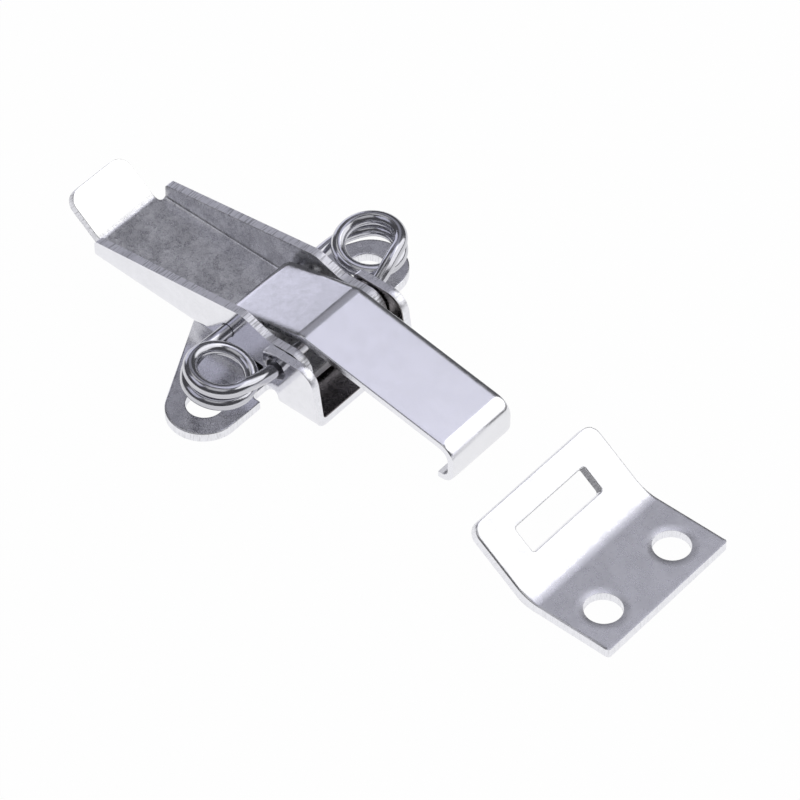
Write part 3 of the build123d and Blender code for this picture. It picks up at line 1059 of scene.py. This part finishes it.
def bare_floor(own):
    """A wide pale floor just under the object, which keeps the object's shadow."""
    corners = ((-1, -1), (1, -1), (1, 1), (-1, 1))
    mesh = bpy.data.meshes.new("floor")
    mesh.from_pydata(
        [(x * FLOOR_HALF, y * FLOOR_HALF, -FLOOR_DROP) for x, y in corners], [], [(0, 1, 2, 3)]
    )
    floor = link(mesh, "floor")
    paper = bpy.data.materials.new("paper")
    paper.use_nodes = True
    make = Nodes(paper.node_tree)
    make.tree.nodes.clear()
    path = make.node("ShaderNodeLightPath").outputs
    seen = make.math("MAXIMUM", path["Is Camera Ray"], path["Is Glossy Ray"])
    seen = make.math("MAXIMUM", seen, path["Is Transmission Ray"])
    matt = make.node("ShaderNodeBsdfDiffuse", Color=(*own.floor_colour, 1))
    glow = make.node("ShaderNodeEmission", Strength=1.0)
    mix = make.node("ShaderNodeMixShader")
    make.join(make.math("MULTIPLY", seen, own.floor_glow), mix.inputs[0])
    make.join(matt.outputs[0], mix.inputs[1])
    make.join(glow.outputs[0], mix.inputs[2])
    make.node("ShaderNodeOutputMaterial", Surface=mix.outputs[0])
    mesh.materials.append(paper)


class LATCH_OT_stage(bpy.types.Operator):
    """Set up the floor, the soft lamps and the camera"""

    bl_idname = "latch.stage"
    bl_label = "Stage"

    def execute(self, context):
        scene = context.scene
        own = settings().stage
        bare_floor(own)
        world = bpy.data.worlds.new("soft room")
        world.use_nodes = True
        scene.world = world
        back = world.node_tree.nodes["Background"]
        back.inputs["Color"].default_value = (*ROOM_TINT, 1)
        back.inputs["Strength"].default_value = own.room_level
        for name, bearing, height, *rest in SOFT_LAMPS:
            soft_lamp(name, math.radians(bearing), math.radians(height), *rest)
        look = Vector(own.camera_look).normalized()
        up = Vector(own.camera_up).normalized()
        right = look.cross(up).normalized()
        up = right.cross(look)
        data = bpy.data.cameras.new("camera")
        data.lens = own.lens
        data.sensor_width = SENSOR
        data.clip_start, data.clip_end = CLIP
        camera = link(data, "camera")
        facing = Matrix((right, up, -look)).transposed().to_4x4()
        camera.matrix_world = Matrix.Translation(Vector(own.camera_place)) @ facing
        scene.camera = camera
        scene.view_settings.view_transform = "Standard"
        return {"FINISHED"}


class LATCH_PT_panel(bpy.types.Panel):
    """Lists the pieces of the latch"""

    bl_idname = "LATCH_PT_panel"
    bl_label = "Toggle latch"
    bl_space_type = "VIEW_3D"
    bl_region_type = "UI"
    bl_category = "Toggle latch"

    def draw(self, context):
        for operator in OPERATORS:
            self.layout.operator(operator.bl_idname)
        own = settings()
        for group in (own.sheet, own.steel, own.spring, own.stage):
            box = self.layout.box()
            for key in group.bl_rna.properties.keys():
                if key not in ("rna_type", "name"):
                    box.prop(group, key)


GROUPS = (
    LatchSheetSettings, LatchSteelSettings, LatchSpringSettings, LatchStageSettings, LatchSettings,
)
OPERATORS = (
    LATCH_OT_base_bracket, LATCH_OT_lever_handle, LATCH_OT_draw_claw,
    LATCH_OT_strike_plate, LATCH_OT_springs, LATCH_OT_stage,
)
CLASSES = (*GROUPS, *OPERATORS, LATCH_PT_panel)


def register():
    """Make the classes and the scene's settings known to Blender."""
    for one in CLASSES:
        bpy.utils.register_class(one)
    bpy.types.Scene.toggle_latch = bpy.props.PointerProperty(type=LatchSettings)


def unregister():
    """Take the classes and the settings away again."""
    del bpy.types.Scene.toggle_latch
    for one in reversed(CLASSES):
        bpy.utils.unregister_class(one)


def main():
    """Dress the latch and set the stage."""
    register()
    bpy.ops.latch.base_bracket()
    bpy.ops.latch.lever_handle()
    bpy.ops.latch.draw_claw()
    bpy.ops.latch.strike_plate()
    bpy.ops.latch.springs()
    bpy.ops.latch.stage()


if __name__ == "__main__":
    main()
